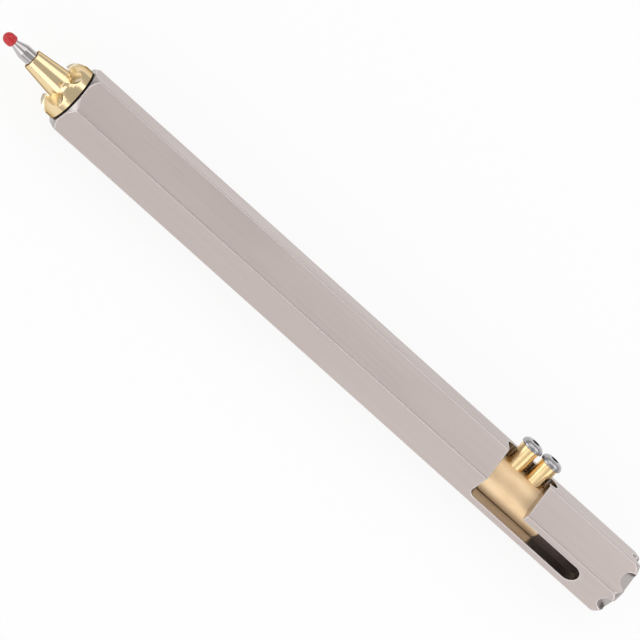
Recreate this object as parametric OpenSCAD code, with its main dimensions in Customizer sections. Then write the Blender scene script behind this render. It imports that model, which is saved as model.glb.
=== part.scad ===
// Bolt action ballpoint pen: hexagonal steel barrel, brass nose and bolt.
// The pen lies along X with its writing tip toward -X, on one flat of the
// hexagon at z = 0, with the bolt's window upward. The origin is the middle
// of that flat. Inside the modules x is measured from the barrel's front face
// and the pen's axis is the X axis. The bolt stands just forward of its lock,
// free to slide and to turn.

/* [Barrel] */
// diameter of the bore that the bolt slides in
bore_diameter = 7.3; // [6.1:0.1:8.7]
// wall between the bore and the flats of the hexagonal bar
bar_wall = 1.45; // [1.2:0.05:2]
// radius on the bar's six long edges
edge_radius = 0.35; // [0.1:0.05:0.8]
// turned chamfer at the front, measured inward from the bar's corners
front_chamfer = 0.72; // [0.5:0.02:1.1]
// length of that chamfer at the bar's corners
front_run = 0.94; // [0.5:0.02:1.5]
// turned rounding at the rear, measured inward from the bar's corners
rear_rise = 1.19; // [0.6:0.01:1.4]
// length of the turned rounding at the rear
rear_rounding = 2.0; // [1:0.1:3]
// thickness of the closed rear end
end_wall = 2.0; // [1.6:0.1:3]
// free length behind the bolt when it is fully drawn back
end_gap = 0.55; // [0.2:0.05:2]

/* [Rear scallops] */
// radius of the scallop milled in each flat at the rear end
scallop_radius = 1.55; // [1:0.05:1.9]
// depth of each scallop below its flat
scallop_depth = 0.9; // [0.5:0.1:1.1]
// distance of the scallops' centres from the rear face
scallop_inset = 0.25; // [0:0.05:0.6]

/* [Bolt track] */
// room between the front peg and the window's front wall
push_room = 1.42; // [1:0.02:3]
// radius of the window's front corners
window_corner = 1.2; // [0.6:0.1:1.5]
// how far the rear peg's axis goes behind the window's rear wall to lock
lock_depth = 0.05; // [0:0.05:0.6]
// room between the rear peg and the window's rear wall as the bolt turns
turn_room = 0.03; // [0.02:0.01:0.3]
// travel of the bolt from its lock to the rear end of the retracting slot
retract_travel = 11.2; // [9:0.1:14]
// play on each side of a peg in its slot
peg_play = 0.07; // [0.04:0.01:0.15]

/* [Bolt] */
// play between the bolt and the bore, on the radius
bolt_play = 0.15; // [0.05:0.01:0.2]
// length of the bolt ahead of the front peg's axis
bolt_front = 4.25; // [3.5:0.05:8]
// length of the bolt behind the rear peg's axis
bolt_rear = 5.8; // [4.8:0.1:8]
// chamfer on the bolt's ends
bolt_chamfer = 0.3; // [0.1:0.1:0.6]
// diameter of the round seat milled under each peg
seat_diameter = 5.8; // [4.8:0.1:7]
// depth of that seat below the bolt's round side
seat_depth = 0.37; // [0.3:0.01:0.5]

/* [Pegs] */
// outer diameter of a peg's sleeve
sleeve_diameter = 3.2; // [2.7:0.1:3.8]
// length of a peg's sleeve
sleeve_length = 3.8; // [3:0.05:4.6]
// least gap between the two pegs
peg_gap = 0.2; // [0.1:0.05:0.6]
// thread diameter of the screws
screw_diameter = 2.0; // [1.6:0.1:2.4]
// length of the screws under the head
screw_length = 6.0; // [5:0.5:6]
// play of a screw in its sleeve
screw_play = 0.06; // [0.03:0.01:0.1]
// diameter of a screw's button head
head_diameter = 3.8; // [3.2:0.1:4.6]
// height of a screw's button head
head_height = 1.05; // [0.9:0.05:1.3]
// height of the cylindrical edge of the head
head_edge = 0.2; // [0.15:0.05:0.3]
// diameter of the flat top of the head, round the socket
head_top = 1.8; // [1.6:0.1:2]
// across flats of the hexagon socket
socket_flats = 1.3; // [1.1:0.1:1.5]
// depth of the hexagon socket
socket_depth = 0.6; // [0.4:0.1:0.7]

/* [Nose] */
// distance from the barrel to the nose's front rim
nose_reach = 8.35; // [7.5:0.05:10]
// wall of the nose at its front rim
rim_wall = 0.37; // [0.3:0.01:0.6]
// growth of the nose's cone from the rim to the crown, on the radius
cone_rise = 0.7; // [0.5:0.05:0.9]
// how far the crown's side stands in from the barrel's flats
crown_step = 0.48; // [0.3:0.02:0.5]
// length of the crown
crown_length = 3.1; // [2.6:0.05:3.7]
// length of the crown's rounded front
crown_dome = 2.1; // [1.5:0.1:2.5]
// width of the crown's rounded front
crown_rounding = 1.62; // [1.3:0.02:1.9]
// radius of the six grooves across the crown's front
groove_radius = 1.5; // [1:0.05:1.75]
// lean of the grooves, deeper at the crown's side than at the cone
crown_lean = 16; // [0:1:25]
// distance of the grooves' axes behind the crown's front, at its side
groove_inset = 0.4; // [0:0.05:0.6]
// angle from a groove to the middle of the barrel's nearest edge
crown_angle = 15; // [0:1:59]
// depth of the thread in the bore's mouth that holds the nose
thread_depth = 0.35; // [0.3:0.01:0.42]
// length of that thread
thread_length = 6.0; // [5:0.1:7.2]
// running play of the thread and of the tip in the nose
nose_play = 0.04; // [0.02:0.01:0.08]
// thickness of the washer between the crown and the barrel
washer_thickness = 0.2; // [0.2:0.02:0.5]
// how far the washer's edge stands in from the crown's side
washer_step = 0.07; // [0:0.01:0.12]

/* [Refill] */
// length of the refill
refill_length = 98.1; // [81:0.1:118]
// how far the refill stands out of the nose
tip_out = 5.05; // [4.2:0.05:6.1]
// diameter of the writing ball
ball_diameter = 0.7; // [0.5:0.1:0.9]
// diameter of the metal tip
tip_diameter = 2.4; // [2:0.05:2.9]
// length of the metal tip to its shoulder
tip_length = 14.4; // [12:0.1:17]
// length of the tip's whole cone
cone_length = 3.3; // [2.7:0.1:4]
// length of its slender front part, which the bead covers
point_length = 1.45; // [1.2:0.05:1.8]
// radius of the cone where the slender part ends
point_radius = 0.62; // [0.58:0.01:0.8]
// wall of the plastic neck round the tip's size
neck_wall = 0.4; // [0.3:0.05:0.5]
// length of the neck, which the spring lies round
neck_length = 9.0; // [8:0.1:11]
// outer diameter of the ink tube
tube_diameter = 6.0; // [5.9:0.1:7.2]
// wall of the tube
tube_wall = 0.4; // [0.3:0.1:0.6]
// length that the neck's collar goes into the tube
collar_length = 6; // [4:0.5:8]
// length of the end plug that the bolt pushes
plug_length = 3.0; // [2:0.1:5]
// length of the plug's stem in the tube
plug_stem = 4; // [3:0.5:6]
// length of the grease follower behind the ink
follower_length = 3; // [2:0.5:5]
// empty length of the tube between the follower and the plug
air_length = 6.6; // [3:0.1:20]

/* [Bead on the tip] */
// diameter of the red bead
bead_diameter = 1.98; // [1.7:0.02:2.3]
// length of the bead
bead_length = 2.05; // [1.75:0.05:2.4]
// thickness of the bead in front of the ball
bead_cover = 0.6; // [0.5:0.05:0.7]
// length of the bead's rounded front
bead_round = 1.1; // [0.9:0.05:1.2]

/* [Return spring] */
// diameter of the spring's wire
wire_diameter = 0.4; // [0.3:0.05:0.5]
// room between the spring and the neck
spring_room = 0.4; // [0.3:0.05:0.5]
// room between the spring and its chamber in the nose
chamber_room = 0.2; // [0.1:0.05:0.4]
// number of curls
spring_turns = 9; // [6:1:10]

/* [Hidden] */
$fn = 64;
// flats on the bar, scallops and grooves
sides = 6;
// angle from the window's middle to the lock on one side, the slot on the other
side_angle = 60;
// gap between pieces that touch
fit = 0.02;
// a cut past tangent, for clean edges
hair = 0.01;
// small edge breaks
bevel = 0.08;
// more than the part's width
cut = 20;

bore = bore_diameter / 2;
flat = bore + bar_wall;
corner = flat / cos(30);
front_face = corner - front_chamfer;
rear_face = corner - rear_rise;
thread_radius = bore + thread_depth;

tip_radius = tip_diameter / 2;
ball_radius = ball_diameter / 2;
tip_reach = nose_reach + tip_out;
tip_shoulder = tip_length - tip_reach;
stem_length = 3;
stem_radius = tip_radius - 0.3;
ink_channel = 0.35;
neck_radius = tip_radius + neck_wall;
neck_end = tip_shoulder + neck_length;
tube_radius = tube_diameter / 2;
tube_bore = tube_radius - tube_wall;
refill_end = refill_length - tip_reach;
plug_front = refill_end - plug_length + fit;
ink_front = neck_end + collar_length + fit;
follower_front = plug_front - plug_stem - air_length - follower_length;

sleeve_radius = sleeve_diameter / 2;
screw_radius = screw_diameter / 2;
head_radius = head_diameter / 2;
peg_pitch = 2 * max(head_radius, sleeve_radius) + peg_gap;
bolt_radius = bore - bolt_play;
bolt_from = refill_end + fit;
front_peg = bolt_from + bolt_front;
rear_peg = front_peg + peg_pitch;
bolt_to = rear_peg + bolt_rear;
seat_height = bolt_radius - seat_depth;
head_seat = seat_height + sleeve_length;

lock_travel = lock_depth + sleeve_radius + turn_room;
locked_peg = rear_peg + lock_travel;
slot_half = sleeve_radius + peg_play;
slot_end = locked_peg + retract_travel + fit;
window_front = front_peg - sleeve_radius - push_room;
window_rear = locked_peg - lock_depth;
corner_radius = min(window_corner, slot_half - 0.1);
bore_end = locked_peg + retract_travel + bolt_rear + end_gap;
barrel_length = bore_end + end_wall;

tip_hole = tip_radius + 2 * nose_play;
neck_hole = neck_radius + 0.3;
neck_hole_front = tip_shoulder - push_room - 1.5;
rim = tip_hole + rim_wall;
cone = rim + cone_rise;
crown = flat - crown_step;
crown_inner = max(crown - crown_rounding, cone + 0.2);
crown_front = -washer_thickness - crown_length;

spring_radius = neck_radius + spring_room + wire_diameter / 2;
chamber = spring_radius + wire_diameter / 2 + chamber_room;

steel = [0.72, 0.69, 0.67];
brass = [0.87, 0.72, 0.45];
chrome = [0.75, 0.75, 0.77];
plastic = [0.86, 0.87, 0.88];

// Every piece is built on the X axis, then set down on the bar's flat.
module pen_frame() {
  translate([-barrel_length / 2, 0, flat]) children();
}

// A profile of [radius, x] points turned about the pen's axis.
module turned(profile) {
  rotate([0, 90, 0]) rotate_extrude() polygon(profile);
}

// Children drawn along +Z at x, pointing outward at an angle from the top.
module radial(x, angle) {
  translate([x, 0, 0]) rotate([-angle, 0, 0]) children();
}

// Quarter of an ellipse from (r0, x0) to (r1, x1), flat across the axis at its
// start and along the axis at its end.
function quarter(r0, x0, r1, x1, steps = 8) =
  [for (i = [0:steps])
    [r0 + (r1 - r0) * sin(90 * i / steps),
     x1 + (x0 - x1) * cos(90 * i / steps)]];

// The barrel: a hexagonal bar with rounded edges, turned at both ends.

function bar_outline(steps = 4) = [
  for (k = [0:sides - 1]) for (i = [0:steps])
    let (
      turn = 60 * k + 30 * (2 * i / steps - 1),
      middle = corner - edge_radius / cos(30)
    )
    [middle * cos(60 * k) + edge_radius * cos(turn),
     middle * sin(60 * k) + edge_radius * sin(turn)]
];

// A chamfer in front and a rounding behind.
function bar_ends(steps = 8) = concat(
  [[0, 0], [front_face, 0], [corner, front_run]],
  [for (i = [0:steps])
    [rear_face + rear_rise * cos(90 * i / steps),
     barrel_length - rear_rounding * (1 - sin(90 * i / steps))]],
  [[0, barrel_length]]);

// The window is open between the lock and the retracting slot: a V of two
// planes that stand in from the pegs' far sides by the corner radius.
module window_wedge() {
  dip = (slot_half - corner_radius) / sin(side_angle);
  reach = 2 * cut;
  side = [reach * sin(side_angle), reach * cos(side_angle) - dip];
  translate([window_front, 0, 0]) rotate([90, 0, 90])
    linear_extrude(window_rear - window_front)
      polygon([[0, -dip], side, [0, reach], [-side[0], side[1]]]);
}

// One arm of the track, round at its end, with the window's rounded corner
// at its start.
module track_arm(side, end) {
  start = window_front + corner_radius;
  radial(0, side * side_angle) {
    translate([start, -slot_half, 0])
      cube([end - start, 2 * slot_half, cut]);
    translate([end, 0, 0])
      cylinder(r = slot_half, h = cut);
    translate([start - hair, side * (slot_half - corner_radius + hair), 0])
      cylinder(r = corner_radius, h = cut);
  }
}

module bolt_track() {
  window_wedge();
  track_arm(1, locked_peg + fit);
  track_arm(-1, slot_end);
}

module rear_scallops() {
  for (k = [0:sides - 1])
    radial(barrel_length - scallop_inset, 60 * k)
      translate([0, 0, flat - scallop_depth])
        cylinder(r = scallop_radius, h = cut);
}

module barrel() {
  drill = 0.4;
  color(steel) pen_frame() difference() {
    intersection() {
      rotate([90, 0, 90]) linear_extrude(barrel_length)
        polygon(bar_outline());
      turned(bar_ends());
    }
    turned([[0, -1], [thread_radius, -1],
      [thread_radius, thread_length + 0.6], [bore, thread_length + 1],
      [bore, bore_end - drill], [bore - drill, bore_end], [0, bore_end]]);
    bolt_track();
    rear_scallops();
  }
}

// The nose: a cone through a grooved crown, a spigot for the thread, and a
// chamber behind it for the spring.

module crown_ring() {
  spigot = thread_radius - nose_play;
  relief = 0.3;
  difference() {
    turned(concat(
      [[0, crown_front]],
      quarter(crown_inner, crown_front, crown, crown_front + crown_dome),
      [[crown, -washer_thickness - bevel],
       [crown - bevel, -washer_thickness],
       [spigot - relief, -washer_thickness],
       [spigot - relief, relief], [spigot, 2 * relief],
       [spigot, thread_length - relief], [spigot - relief, thread_length],
       [0, thread_length]]));
    for (k = [0:sides - 1])
      radial(crown_front + groove_inset, 30 - crown_angle + 60 * k)
        translate([0, 0, crown]) rotate([0, crown_lean, 0])
          translate([0, 0, -crown]) {
            cylinder(r = groove_radius, h = cut);
            translate([-cut, -groove_radius, 0])
              cube([cut, 2 * groove_radius, cut]);
          }
  }
}

module nose_cone() {
  rim_edge = 0.15;
  cone_end = crown_front + 0.9;
  inside = crown_front + groove_inset + groove_radius + 0.3;
  color(brass) pen_frame() difference() {
    union() {
      crown_ring();
      turned(concat(
        [[0, -nose_reach]],
        quarter(rim - rim_edge, -nose_reach, rim, rim_edge - nose_reach, 3),
        [[cone, cone_end], [cone, inside], [0, inside]]));
    }
    turned([[0, -cut], [tip_hole, -cut],
      [tip_hole, neck_hole_front - 0.3], [neck_hole, neck_hole_front],
      [neck_hole, 0], [chamber, 0], [chamber, cut], [0, cut]]);
  }
}

module nose_washer() {
  inner = thread_radius + 0.03;
  outer = crown - washer_step;
  color([0.08, 0.07, 0.07]) pen_frame() turned([
    [inner, hair - washer_thickness], [outer, hair - washer_thickness],
    [outer, -hair], [inner, -hair]]);
}

// The return spring is one tube of six sides, a ring of points at each step
// of the helix, with its ends straight for one wire diameter.

spring_rings = 8 * spring_turns;
wire_sides = 6;
spring_from = wire_diameter / 2 + fit;
spring_to = neck_end - wire_diameter / 2 - fit;

function spring_angle(t) = 360 * spring_turns * t;

function spring_point(t) =
  [spring_from + (spring_to - spring_from) * t,
   spring_radius * cos(spring_angle(t)),
   spring_radius * sin(spring_angle(t))];

function spring_way(t) =
  let (
    speed = 2 * PI * spring_turns * spring_radius,
    v = [spring_to - spring_from,
      -speed * sin(spring_angle(t)), speed * cos(spring_angle(t))]
  ) v / norm(v);

function spring_line() = concat(
  [spring_point(0) - spring_way(0) * wire_diameter],
  [for (i = [0:spring_rings]) spring_point(i / spring_rings)],
  [spring_point(1) + spring_way(1) * wire_diameter]);

function spring_skin(line) = [
  for (i = [0:len(line) - 1])
    let (
      t = min(max((i - 1) / spring_rings, 0), 1),
      out = [0, cos(spring_angle(t)), sin(spring_angle(t))],
      side = cross(spring_way(t), out)
    )
    for (k = [0:wire_sides - 1])
      line[i] + wire_diameter / 2
        * (cos(360 * k / wire_sides) * out + sin(360 * k / wire_sides) * side)
];

function spring_faces(n) = concat(
  [for (i = [0:n - 2]) for (k = [0:wire_sides - 1]) for (half = [0, 1])
    let (
      a = i * wire_sides + k,
      b = i * wire_sides + (k + 1) % wire_sides
    )
    half == 0 ? [a, a + wire_sides, b]
      : [b, a + wire_sides, b + wire_sides]],
  [for (k = [1:wire_sides - 2]) [0, k, k + 1]],
  [for (k = [1:wire_sides - 2])
    let (last = (n - 1) * wire_sides) [last, last + k + 1, last + k]]);

// Least distance between points more than half a curl apart, less the wire.
function spring_gap() =
  let (line = spring_line(), n = len(line), apart = 5)
  min([for (i = [0:n - apart - 1]) for (j = [i + apart:n - 1])
    norm(line[i] - line[j])]) - wire_diameter;

echo(spring_gap = spring_gap());

module return_spring() {
  line = spring_line();
  color(chrome) pen_frame()
    polyhedron(points = spring_skin(line), faces = spring_faces(len(line)),
      convexity = 10);
}

// The refill. Half the tip's thickness at a distance behind the ball's front.

lip_length = 0.25;
lip_radius = ball_radius + 0.06;

function tip_half(behind) = lookup(behind,
  [[lip_length, lip_radius], [point_length, point_radius],
   [cone_length, tip_radius]]);

module refill_tip() {
  seat = 0.05;
  color(chrome) pen_frame() turned([
    [ink_channel, -tip_reach + ball_diameter + seat],
    [ball_radius + fit, -tip_reach + ball_radius + seat],
    [ball_radius - 0.03, -tip_reach + lip_length],
    [lip_radius, -tip_reach + lip_length],
    [point_radius, -tip_reach + point_length],
    [tip_radius, -tip_reach + cone_length],
    [tip_radius, tip_shoulder - bevel],
    [tip_radius - bevel, tip_shoulder],
    [stem_radius, tip_shoulder],
    [stem_radius, tip_shoulder + stem_length],
    [ink_channel, tip_shoulder + stem_length]]);
}

module writing_ball() {
  color([0.45, 0.45, 0.48]) pen_frame()
    translate([-tip_reach + ball_radius, 0, 0]) sphere(r = ball_radius - hair);
}

module refill_neck() {
  lead = 0.2;
  channel = 0.6;
  stem_end = tip_shoulder + stem_length + fit;
  color(plastic) pen_frame() turned([
    [stem_radius + fit, tip_shoulder + fit],
    [neck_radius - lead, tip_shoulder + fit],
    [neck_radius, tip_shoulder + lead + fit],
    [neck_radius, neck_end - fit], [tube_bore - fit, neck_end - fit],
    [tube_bore - fit, neck_end + collar_length - 2 * lead],
    [tube_bore - 2 * lead, neck_end + collar_length],
    [channel, neck_end + collar_length],
    [channel, stem_end], [stem_radius + fit, stem_end]]);
}

module refill_tube() {
  lead = 0.15;
  tube_end = refill_end - plug_length;
  color([0.80, 0.80, 0.82]) pen_frame() turned([
    [tube_bore, neck_end], [tube_radius - lead, neck_end],
    [tube_radius, neck_end + lead], [tube_radius, tube_end],
    [tube_bore, tube_end]]);
}

module refill_ink() {
  filled = tube_bore - fit;
  color([0.06, 0.07, 0.20]) pen_frame() turned([
    [0, ink_front], [filled, ink_front],
    [filled, follower_front - fit], [0, follower_front - fit]]);
}

module refill_follower() {
  filled = tube_bore - fit;
  end = follower_front + follower_length;
  color([0.90, 0.90, 0.84]) pen_frame() turned([
    [0, follower_front], [filled, follower_front], [filled, end], [0, end]]);
}

module refill_plug() {
  vent = 0.5;
  lead = 0.3;
  stem = plug_front - plug_stem;
  color(plastic) pen_frame() turned([
    [vent, stem], [tube_bore - lead, stem], [tube_bore - fit, stem + lead],
    [tube_bore - fit, plug_front], [tube_radius, plug_front],
    [tube_radius, refill_end - lead], [tube_radius - lead, refill_end],
    [vent, refill_end]]);
}

// The bead is a drop of soft red rubber moulded over the ball and cone.
module tip_bead() {
  play = 0.03;
  front = -tip_reach - bead_cover;
  back = bead_length - bead_cover;
  radius = bead_diameter / 2;
  shoulder = min(point_length, back);
  color([0.84, 0.16, 0.20]) pen_frame() turned(concat(
    quarter(0, front, radius, front + bead_round),
    [[radius, back - tip_reach - 0.5],
     [radius - 0.06, back - tip_reach - 0.22],
     [radius - 0.2, back - tip_reach - 0.05],
     [tip_half(back) + play + fit, back - tip_reach],
     [tip_half(back) + play, back - tip_reach]],
    back > shoulder + fit
      ? [[tip_half(shoulder) + play, shoulder - tip_reach]] : [],
    [[lip_radius + play, lip_length - tip_reach],
     [ball_radius - 0.05, 0.05 - tip_reach], [0, -0.05 - tip_reach]]));
}

// The bolt and its two pegs, each a brass sleeve under a button head screw.

module bolt() {
  drill_point = 0.4;
  color(brass) pen_frame() difference() {
    turned([[0, bolt_from], [bolt_radius - bolt_chamfer, bolt_from],
      [bolt_radius, bolt_from + bolt_chamfer],
      [bolt_radius, bolt_to - bolt_chamfer],
      [bolt_radius - bolt_chamfer, bolt_to], [0, bolt_to]]);
    for (x = [front_peg, rear_peg]) radial(x, side_angle) {
      translate([0, 0, seat_height])
        cylinder(d = seat_diameter, h = cut);
      translate([0, 0, head_seat - screw_length - drill_point])
        cylinder(r = screw_radius + hair, h = cut);
    }
  }
}

module peg_sleeve(x) {
  hole = screw_radius + screw_play;
  color(brass) pen_frame() radial(x, side_angle)
    translate([0, 0, seat_height]) rotate_extrude() polygon([
      [hole, 0], [sleeve_radius, 0],
      [sleeve_radius, sleeve_length - bevel],
      [sleeve_radius - bevel, sleeve_length],
      [hole, sleeve_length]]);
}

module peg_sleeve_front() { peg_sleeve(front_peg); }

module peg_sleeve_rear() { peg_sleeve(rear_peg); }

module peg_screw(x) {
  point = 0.2;
  top = head_top / 2;
  color(chrome) pen_frame() radial(x, side_angle)
    translate([0, 0, head_seat]) difference() {
      rotate_extrude() polygon(concat(
        [[0, -screw_length], [screw_radius - point, -screw_length],
         [screw_radius, point - screw_length], [screw_radius, 0],
         [head_radius - bevel, 0], [head_radius, bevel]],
        [for (i = [0:8])
          [top + (head_radius - top) * cos(90 * i / 8),
           head_edge + (head_height - head_edge) * sin(90 * i / 8)]],
        [[0, head_height]]));
      translate([0, 0, head_height - socket_depth])
        cylinder(d = socket_flats / cos(30), h = 1, $fn = 6);
    }
}

module peg_screw_front() { peg_screw(front_peg); }

module peg_screw_rear() { peg_screw(rear_peg); }

barrel();
nose_cone();
nose_washer();
return_spring();
refill_tip();
writing_ball();
refill_neck();
refill_tube();
refill_ink();
refill_follower();
refill_plug();
tip_bead();
bolt();
peg_sleeve_front();
peg_sleeve_rear();
peg_screw_front();
peg_screw_rear();
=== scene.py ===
import math

import bmesh
import bpy
from mathutils import Matrix, Vector


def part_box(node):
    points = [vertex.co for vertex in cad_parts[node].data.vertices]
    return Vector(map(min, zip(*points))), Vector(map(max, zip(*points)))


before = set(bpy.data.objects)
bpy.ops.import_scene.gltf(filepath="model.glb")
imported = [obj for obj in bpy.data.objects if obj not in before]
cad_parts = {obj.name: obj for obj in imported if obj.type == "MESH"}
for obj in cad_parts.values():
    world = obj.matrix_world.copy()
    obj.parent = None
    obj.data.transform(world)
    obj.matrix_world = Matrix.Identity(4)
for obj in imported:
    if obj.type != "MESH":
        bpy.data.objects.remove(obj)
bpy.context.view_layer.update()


# Barrel
# A bar of stainless steel, 10.2 mm across flats, satin brushed along its length
# on a belt. The window and slot are milled through its wall into the bore, and
# their edges are deburred, with a bright highlight painted along them.

barrel_low, barrel_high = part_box("barrel")
barrel_front = barrel_low.x
axis_height = (barrel_low.z + barrel_high.z) / 2
across_flats = barrel_high.z - barrel_low.z
steel_colour = (0.56, 0.487, 0.463)
steel_tones = (0.54, 0.468, 0.445), (0.585, 0.510, 0.486)
steel_sheen = (0.61, 0.535, 0.508)
steel_roughness = 0.36
smoother_by = 0.03
rougher_by = 0.05
milled_colour = (0.46, 0.43, 0.42)
milled_roughness = 0.26
edge_roughness = 0.6
bore_colour = (0.64, 0.57, 0.54)
bore_roughness = 0.5
bore_radius = 0.00365
# Painted highlight: the near-white colour painted along the deburred edges.
painted_edge_highlight = (0.98, 0.94, 0.92)
deburred_roughness = 0.3
edge_break = 0.0004
brush_across = 5200
brush_along = 45
sheen_across = brush_across / 7
sheen_along = brush_along / 6
wear_across = 160
wear_along = 40
brush_strength = 0.12
fine_depth = 0.00002


def new_finish(name, colour, roughness, metallic=1.0):
    """A material with one Principled shader, and its node tree and shader."""
    material = bpy.data.materials.new(name)
    material.use_nodes = True
    tree = material.node_tree
    shader = tree.nodes["Principled BSDF"]
    shader.inputs["Base Color"].default_value = (*colour, 1)
    shader.inputs["Roughness"].default_value = roughness
    shader.inputs["Metallic"].default_value = metallic
    return material, tree, shader


def apply_finish(piece, material):
    piece.data.materials.clear()
    piece.data.materials.append(material)


def add_node(tree, kind, **settings):
    """A shader node; a setting in capitals is an input's value, others are the node's own."""
    node = tree.nodes.new("ShaderNode" + kind)
    for key, value in settings.items():
        if key[0].isupper():
            node.inputs[key.replace("_", " ")].default_value = value
        else:
            setattr(node, key, value)
    return node


def math_node(tree, operation, first, second=0.0, third=None):
    node = add_node(tree, "Math", operation=operation)
    for socket, value in zip(node.inputs, (first, second, third)):
        if value is None:
            continue
        if isinstance(value, (int, float)):
            socket.default_value = value
        else:
            tree.links.new(value, socket)
    return node.outputs[0]


def place_on_pen(tree):
    """Object coordinates measured from the middle of the barrel's front face, in metres."""
    where = add_node(tree, "TexCoord")
    shift = add_node(tree, "Mapping", Location=(-barrel_front, 0, -axis_height))
    tree.links.new(where.outputs["Object"], shift.inputs["Vector"])
    return shift.outputs["Vector"]


def stretched_noise(tree, place, along, across, detail=4.0):
    """Noise with its own fineness along the pen and across it, as brushing and turning leave it."""
    stretch = add_node(tree, "Mapping", Scale=(along, across, across))
    tree.links.new(place, stretch.inputs["Vector"])
    noise = add_node(tree, "TexNoise", Scale=1.0, Detail=detail, Roughness=0.6)
    tree.links.new(stretch.outputs["Vector"], noise.inputs["Vector"])
    return noise.outputs["Fac"]


def from_range(tree, value, low, high, to_low, to_high):
    node = add_node(tree, "MapRange", From_Min=low, From_Max=high, To_Min=to_low, To_Max=to_high)
    tree.links.new(value, node.inputs["Value"])
    return node.outputs["Result"]


def blend_colours(tree, factor, first, second):
    node = add_node(tree, "Mix", data_type="RGBA")
    tree.links.new(factor, node.inputs[0])
    for socket, value in zip((node.inputs[6], node.inputs[7]), (first, second)):
        if isinstance(value, tuple):
            socket.default_value = (*value, 1)
        else:
            tree.links.new(value, socket)
    return node.outputs[2]


def blend_numbers(tree, factor, first, second):
    node = add_node(tree, "Mix", data_type="FLOAT")
    tree.links.new(factor, node.inputs[0])
    for socket, value in zip((node.inputs[2], node.inputs[3]), (first, second)):
        if isinstance(value, float):
            socket.default_value = value
        else:
            tree.links.new(value, socket)
    return node.outputs[0]


def hypotenuse(tree, first, second):
    squares = [math_node(tree, "MULTIPLY", side, side) for side in (first, second)]
    return math_node(tree, "SQRT", math_node(tree, "ADD", *squares))


def split_place(tree, place):
    """The distances along the pen, across it and up, from the middle of the barrel's front."""
    split = add_node(tree, "SeparateXYZ")
    tree.links.new(place, split.inputs[0])
    return split.outputs


def toward_nearest_flat(tree, place):
    """How far out a point lies toward the nearest flat, in metres: less on edges and walls."""
    most = None
    for turn in (0, 60, 120):
        facing = add_node(tree, "VectorMath", operation="DOT_PRODUCT")
        tree.links.new(place, facing.inputs[0])
        facing.inputs[1].default_value = (0, math.sin(math.radians(turn)), math.cos(math.radians(turn)))
        size = math_node(tree, "ABSOLUTE", facing.outputs["Value"])
        most = size if most is None else math_node(tree, "MAXIMUM", most, size)
    return most


def brushed_steel():
    material, tree, shader = new_finish("brushed steel", steel_colour, steel_roughness)
    place = place_on_pen(tree)
    fine = stretched_noise(tree, place, brush_along, brush_across)
    broad = stretched_noise(tree, place, sheen_along, sheen_across, detail=3.0)
    cloud = stretched_noise(tree, place, wear_along, wear_across, detail=2.0)
    toward_flat = toward_nearest_flat(tree, place)
    half = across_flats / 2
    flats = from_range(tree, toward_flat, half - 0.0001, half - 0.00006, 0, 1)
    on_edge = from_range(tree, toward_flat, half - 0.00003, half - 0.000005, 1, 0)
    tone = blend_colours(tree, from_range(tree, fine, 0.3, 0.7, 0, 1), *steel_tones)
    tone = blend_colours(tree, from_range(tree, broad, 0.35, 0.65, 0, 0.35), tone, steel_sheen)
    tone = blend_colours(tree, flats, milled_colour, tone)
    along, across, up = split_place(tree, place)
    radius = hypotenuse(tree, across, up)
    in_bore = from_range(tree, radius, bore_radius + 0.00001, bore_radius + 0.00005, 1, 0)
    tone = blend_colours(tree, in_bore, tone, bore_colour)
    broken_edges = add_node(tree, "Bevel", Radius=edge_break)
    face = add_node(tree, "NewGeometry")
    likeness = add_node(tree, "VectorMath", operation="DOT_PRODUCT")
    tree.links.new(broken_edges.outputs["Normal"], likeness.inputs[0])
    tree.links.new(face.outputs["Normal"], likeness.inputs[1])
    # The deburred edges get a real rounded normal and a smoother finish, and also a painted highlight,
    # which is a near-white colour.
    deburred_and_highlit = from_range(tree, likeness.outputs["Value"], 0.985, 0.93, 0, 1)
    deburred_and_highlit = math_node(tree, "MULTIPLY", deburred_and_highlit, math_node(tree, "SUBTRACT", 1.0, on_edge))
    deburred_and_highlit = math_node(tree, "MULTIPLY", deburred_and_highlit, flats)
    tone = blend_colours(tree, deburred_and_highlit, tone, painted_edge_highlight)
    tree.links.new(tone, shader.inputs["Base Color"])
    worn = from_range(
        tree, cloud, 0.35, 0.65, steel_roughness - smoother_by, steel_roughness + rougher_by)
    brushed = blend_numbers(tree, on_edge, worn, edge_roughness)
    rough = blend_numbers(tree, flats, milled_roughness, brushed)
    rough = blend_numbers(tree, in_bore, rough, bore_roughness)
    rough = blend_numbers(tree, deburred_and_highlit, rough, deburred_roughness)
    tree.links.new(rough, shader.inputs["Roughness"])
    bump = add_node(tree, "Bump", Strength=brush_strength, Distance=fine_depth)
    tree.links.new(math_node(tree, "MULTIPLY", fine, flats), bump.inputs["Height"])
    turned_face = add_node(tree, "Mix", data_type="VECTOR")
    tree.links.new(deburred_and_highlit, turned_face.inputs[0])
    tree.links.new(face.outputs["Normal"], turned_face.inputs[4])
    tree.links.new(broken_edges.outputs["Normal"], turned_face.inputs[5])
    tree.links.new(turned_face.outputs[1], bump.inputs["Normal"])
    tree.links.new(bump.outputs["Normal"], shader.inputs["Normal"])
    return material


apply_finish(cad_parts["barrel"], brushed_steel())


# Nose
# A turned brass cone with a crown of six teeth, screwed into the barrel by a
# fine thread on its spigot, and polished on the lathe.

nose_colour = (0.90, 0.71, 0.43)
nose_tones = (0.88, 0.69, 0.41), (0.93, 0.74, 0.46)
# Painted dark reflection: a dark brown tint that darkens the brass where it is seen edge-on.
painted_dark_edge_tint = (0.25, 0.16, 0.08)
nose_roughness = 0.13, 0.2
# Painted highlight: the grooves are coloured paler for the bright light they reflect; their rougher
# finish is real.
painted_groove_highlight = (0.94, 0.84, 0.63)
groove_roughness = 0.3

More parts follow.
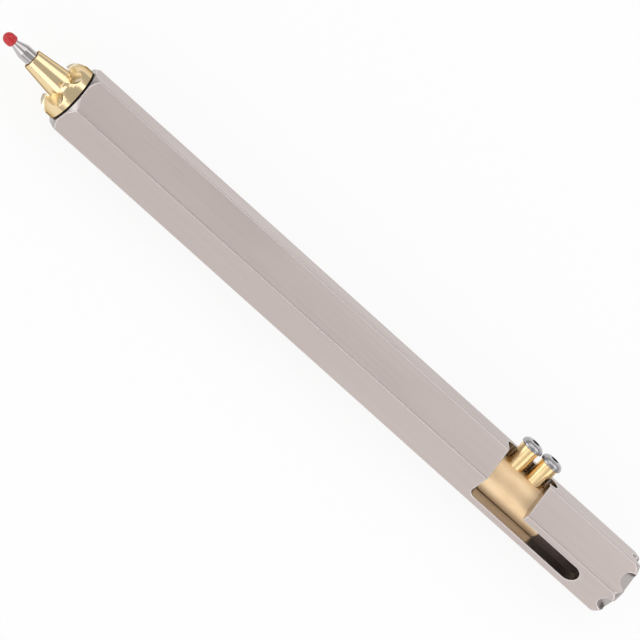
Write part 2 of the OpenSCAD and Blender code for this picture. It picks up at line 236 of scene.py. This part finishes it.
# The crown's sizes in metres, and its places along the pen from the barrel's front
crown_radius = 0.00462
crown_front = -0.0033
crown_back = -0.0004
dome_along = 0.0021
dome_across = 0.00162
cone_radius = 0.00235
thread_pitch = 0.00075
thread_start = 0.0006
thread_depth = 0.0004
lathe_lines = 9000


def in_a_groove(tree, along, radius):
    """1 where the crown has been milled away below its turned, rounded front, 0 elsewhere."""
    forward = math_node(tree, "SUBTRACT", along, crown_front + dome_along)
    forward = math_node(tree, "DIVIDE", math_node(tree, "MINIMUM", forward, 0.0), dome_along)
    outward = math_node(tree, "SUBTRACT", radius, crown_radius - dome_across)
    reach = hypotenuse(tree, forward, math_node(tree, "DIVIDE", outward, dome_across))
    below_dome = from_range(tree, reach, 0.95, 0.98, 1, 0)
    off_cone = from_range(tree, radius, cone_radius, cone_radius + 0.0001, 0, 1)
    before_back = math_node(tree, "LESS_THAN", along, crown_back)
    return math_node(tree, "MULTIPLY", math_node(tree, "MULTIPLY", below_dome, off_cone), before_back)


def turned_brass():
    material, tree, shader = new_finish("turned brass", nose_colour, 0.15)
    # Painted dark reflection along the nose's edges, as a dark brown edge tint.
    shader.inputs["Specular Tint"].default_value = (*painted_dark_edge_tint, 1)
    place = place_on_pen(tree)
    along, across, up = split_place(tree, place)
    turns = math_node(tree, "DIVIDE", math_node(tree, "ARCTAN2", up, across), 2 * math.pi)
    rings = stretched_noise(tree, place, lathe_lines, 40, detail=3.0)
    tone = blend_colours(tree, from_range(tree, rings, 0.3, 0.7, 0, 1), *nose_tones)
    milled = in_a_groove(tree, along, hypotenuse(tree, across, up))
    # Painted highlight in the milled grooves, as a paler colour.
    tree.links.new(blend_colours(tree, milled, tone, painted_groove_highlight), shader.inputs["Base Color"])
    turned = from_range(tree, rings, 0.3, 0.7, *nose_roughness)
    tree.links.new(blend_numbers(tree, milled, turned, groove_roughness), shader.inputs["Roughness"])
    wound = math_node(tree, "ADD", math_node(tree, "DIVIDE", along, thread_pitch), turns)
    ridge = math_node(tree, "PINGPONG", wound, 0.5)
    on_thread = math_node(tree, "GREATER_THAN", along, thread_start)
    thread = add_node(tree, "Bump", Strength=1.0, Distance=thread_depth)
    tree.links.new(math_node(tree, "MULTIPLY", ridge, on_thread), thread.inputs["Height"])
    lathe = add_node(tree, "Bump", Strength=0.05, Distance=fine_depth)
    tree.links.new(rings, lathe.inputs["Height"])
    tree.links.new(thread.outputs["Normal"], lathe.inputs["Normal"])
    tree.links.new(lathe.outputs["Normal"], shader.inputs["Normal"])
    return material


apply_finish(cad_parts["nose_cone"], turned_brass())


# Washer
# A thin ring of black rubber that the nose is screwed down on.


def black_rubber():
    material, tree, shader = new_finish("black rubber", (0.005, 0.004, 0.004), 0.6, metallic=0.0)
    shader.inputs["Specular IOR Level"].default_value = 0.2
    grain = stretched_noise(tree, place_on_pen(tree), 9000, 9000)
    tree.links.new(from_range(tree, grain, 0.3, 0.7, 0.45, 0.65), shader.inputs["Roughness"])
    return material


apply_finish(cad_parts["nose_washer"], black_rubber())


# Spring
# Drawn steel wire, wound round the refill's neck inside the nose.


def bright_wire():
    material, tree, shader = new_finish("bright wire", (0.56, 0.56, 0.57), 0.2)
    drawn = stretched_noise(tree, place_on_pen(tree), 4000, 4000)
    tree.links.new(from_range(tree, drawn, 0.3, 0.7, 0.15, 0.28), shader.inputs["Roughness"])
    return material


apply_finish(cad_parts["return_spring"], bright_wire())


# Refill
# A turned steel tip and its ball, a moulded neck and end plug, and a drawn
# metal tube that holds the ink and the grease behind it.


def turned_steel(name, colour, low, high):
    material, tree, shader = new_finish(name, colour, low)
    rings = stretched_noise(tree, place_on_pen(tree), lathe_lines, 60, detail=3.0)
    tree.links.new(from_range(tree, rings, 0.3, 0.7, low, high), shader.inputs["Roughness"])
    lathe = add_node(tree, "Bump", Strength=0.08, Distance=fine_depth)
    tree.links.new(rings, lathe.inputs["Height"])
    tree.links.new(lathe.outputs["Normal"], shader.inputs["Normal"])
    return material


def moulded_plastic():
    material, tree, shader = new_finish("moulded plastic", (0.74, 0.75, 0.76), 0.45, metallic=0.0)
    mottle = stretched_noise(tree, place_on_pen(tree), 1500, 1500)
    tree.links.new(from_range(tree, mottle, 0.3, 0.7, 0.38, 0.5), shader.inputs["Roughness"])
    return material


def wet_ink():
    material, tree, shader = new_finish("wet ink", (0.008, 0.010, 0.05), 0.1, metallic=0.0)
    streaks = stretched_noise(tree, place_on_pen(tree), 300, 2000)
    tree.links.new(from_range(tree, streaks, 0.3, 0.7, 0.06, 0.2), shader.inputs["Roughness"])
    return material


def pale_grease():
    material, tree, shader = new_finish("pale grease", (0.72, 0.72, 0.58), 0.3, metallic=0.0)
    swirl = stretched_noise(tree, place_on_pen(tree), 1200, 1200)
    tree.links.new(from_range(tree, swirl, 0.3, 0.7, 0.2, 0.4), shader.inputs["Roughness"])
    return material


apply_finish(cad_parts["refill_tip"], turned_steel("tip steel", (0.56, 0.53, 0.53), 0.1, 0.18))
apply_finish(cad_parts["writing_ball"], turned_steel("ball carbide", (0.32, 0.32, 0.35), 0.06, 0.12))
apply_finish(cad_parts["refill_tube"], turned_steel("drawn tube", (0.66, 0.66, 0.68), 0.25, 0.4))
for plastic_piece in ("refill_neck", "refill_plug"):
    apply_finish(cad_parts[plastic_piece], moulded_plastic())
apply_finish(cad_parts["refill_ink"], wet_ink())
apply_finish(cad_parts["refill_follower"], pale_grease())


# Bead
# A drop of soft red rubber over the ball, which keeps a new refill from
# drying and is pulled off before writing.

bead_tones = (0.50, 0.018, 0.025), (0.60, 0.028, 0.036)


def red_rubber():
    material, tree, shader = new_finish("red rubber", bead_tones[1], 0.25, metallic=0.0)
    shader.inputs["Subsurface Weight"].default_value = 0.15
    shader.inputs["Subsurface Scale"].default_value = 0.0004
    shader.inputs["Subsurface Radius"].default_value = (1.0, 0.2, 0.1)
    skin = stretched_noise(tree, place_on_pen(tree), 2500, 2500)
    tree.links.new(from_range(tree, skin, 0.3, 0.7, 0.2, 0.3), shader.inputs["Roughness"])
    tone = blend_colours(tree, from_range(tree, skin, 0.3, 0.7, 0, 1), *bead_tones)
    tree.links.new(tone, shader.inputs["Base Color"])
    return material


apply_finish(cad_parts["tip_bead"], red_rubber())


# Bolt and sleeves
# A brass plunger that slides and turns in the barrel, and two turned brass
# sleeves that stand on it as the finger pegs.

bolt_tones = (0.83, 0.62, 0.39), (0.89, 0.69, 0.45)
sleeve_tones = (0.86, 0.63, 0.33), (0.91, 0.69, 0.38)


def satin_brass(name, tones, rough_low, rough_high, strength, fineness):
    material, tree, shader = new_finish(name, tones[0], rough_low)
    place = place_on_pen(tree)
    lines = stretched_noise(tree, place, 120, fineness)
    cloud = stretched_noise(tree, place, 250, 500, detail=2.0)
    tone = blend_colours(tree, from_range(tree, cloud, 0.35, 0.65, 0, 1), *tones)
    tree.links.new(tone, shader.inputs["Base Color"])
    tree.links.new(from_range(tree, lines, 0.3, 0.7, rough_low, rough_high), shader.inputs["Roughness"])
    bump = add_node(tree, "Bump", Strength=strength, Distance=fine_depth)
    tree.links.new(lines, bump.inputs["Height"])
    tree.links.new(bump.outputs["Normal"], shader.inputs["Normal"])
    return material


apply_finish(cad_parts["bolt"], satin_brass("satin brass", bolt_tones, 0.52, 0.64, 0.1, 5000))
sleeve_brass = satin_brass("sleeve brass", sleeve_tones, 0.22, 0.28, 0.01, 900)
for sleeve in ("peg_sleeve_front", "peg_sleeve_rear"):
    apply_finish(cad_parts[sleeve], sleeve_brass)


# Screws
# Bright steel button head screws with a hexagon socket, which hold the
# sleeves down on the bolt.

screw_steel = turned_steel("screw steel", (0.44, 0.43, 0.44), 0.14, 0.24)
for screw in ("peg_screw_front", "peg_screw_rear"):
    apply_finish(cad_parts[screw], screw_steel)


# Floor
# A pale table top, white to the camera and in reflections, that keeps a faint
# shadow of the pen.

floor_size = 3.0
floor_glow = 0.87


def pale_floor():
    material, tree, shader = new_finish("pale floor", (0.95, 0.95, 0.95), 0.8, metallic=0.0)
    rays = add_node(tree, "LightPath")
    seen = math_node(tree, "MAXIMUM", rays.outputs["Is Camera Ray"], rays.outputs["Is Glossy Ray"])
    seen = math_node(tree, "MAXIMUM", seen, rays.outputs["Is Transmission Ray"])
    white = add_node(tree, "Emission", Color=(1, 1, 1, 1), Strength=1.0)
    both = add_node(tree, "MixShader")
    tree.links.new(math_node(tree, "MULTIPLY", seen, floor_glow), both.inputs[0])
    tree.links.new(shader.outputs[0], both.inputs[1])
    tree.links.new(white.outputs[0], both.inputs[2])
    tree.links.new(both.outputs[0], tree.nodes["Material Output"].inputs["Surface"])
    return material


floor_mesh = bpy.data.meshes.new("floor")
floor = bpy.data.objects.new("floor", floor_mesh)
bpy.context.scene.collection.objects.link(floor)
shape = bmesh.new()
bmesh.ops.create_grid(shape, x_segments=1, y_segments=1, size=floor_size / 2)
shape.to_mesh(floor_mesh)
shape.free()
floor_mesh.materials.append(pale_floor())


# Light
# A white room with a soft box low on the near side and one high on the far
# side, a larger box in front of each, one facing the nose, and dimmer walls
# and ceiling that bright metal shows.


def soft_box(name, place, size, radiance):
    """A rectangular lamp that faces the pen; radiance is how bright it looks."""
    lamp = bpy.data.lights.new(name, "AREA")
    lamp.shape = "RECTANGLE"
    lamp.size, lamp.size_y = size
    lamp.energy = radiance * math.pi * size[0] * size[1]
    lamp_object = bpy.data.objects.new(name, lamp)
    lamp_object.location = place
    lamp_object.rotation_mode = "QUATERNION"
    lamp_object.rotation_quaternion = (-Vector(place)).to_track_quat("-Z", "Y")
    bpy.context.scene.collection.objects.link(lamp_object)


soft_box("box near side", (0.40, -0.53, 0.27), (0.7, 0.475), 1.1)
soft_box("box far side", (0.40, 0.325, 0.5), (0.7, 0.475), 1.05)
soft_box("box near front", (-0.3, -1.05, 0.55), (0.9, 0.95), 1.1)
soft_box("box far front", (-0.4, 0.6, 1.0), (1.3, 0.95), 0.9)
soft_box("box in front", (-0.95, -0.38, 0.42), (0.6, 0.7), 1.4)

room_brightness = 0.5
world = bpy.data.worlds.new("white room")
world.use_nodes = True
bpy.context.scene.world = world
room = world.node_tree
rays = add_node(room, "LightPath")
seen = math_node(room, "MAXIMUM", rays.outputs["Is Camera Ray"], rays.outputs["Is Transmission Ray"])
room_light = room.nodes["Background"]
room_light.inputs["Color"].default_value = (1, 1, 1, 1)
room_level = from_range(room, seen, 0, 1, room_brightness, 1.0)
room.links.new(room_level, room_light.inputs["Strength"])


# Camera
# A long lens about 1.2 m away, high above the pen and a little toward its nose
# and near side, turned so that the pen lies from corner to corner.

lens_in_pixels = 8101.5
picture_width = 640

camera_data = bpy.data.cameras.new("camera")
camera = bpy.data.objects.new("camera", camera_data)
bpy.context.scene.collection.objects.link(camera)
camera_data.sensor_width = 36.0
camera_data.lens = lens_in_pixels / picture_width * camera_data.sensor_width
camera_data.clip_start = 0.05
camera_right = Vector((0.72257, 0.58599, 0.36665))
camera_back = Vector((-0.23768, -0.28746, 0.92783)).normalized()
camera_up = camera_back.cross(camera_right).normalized()
camera_right = camera_up.cross(camera_back)
camera_place = Vector((-0.296556, -0.352027, 1.140428))
camera.matrix_world = Matrix.Translation(camera_place) @ Matrix(
    (camera_right, camera_up, camera_back)).transposed().to_4x4()
bpy.context.scene.camera = camera
bpy.context.scene.view_settings.view_transform = "Standard"
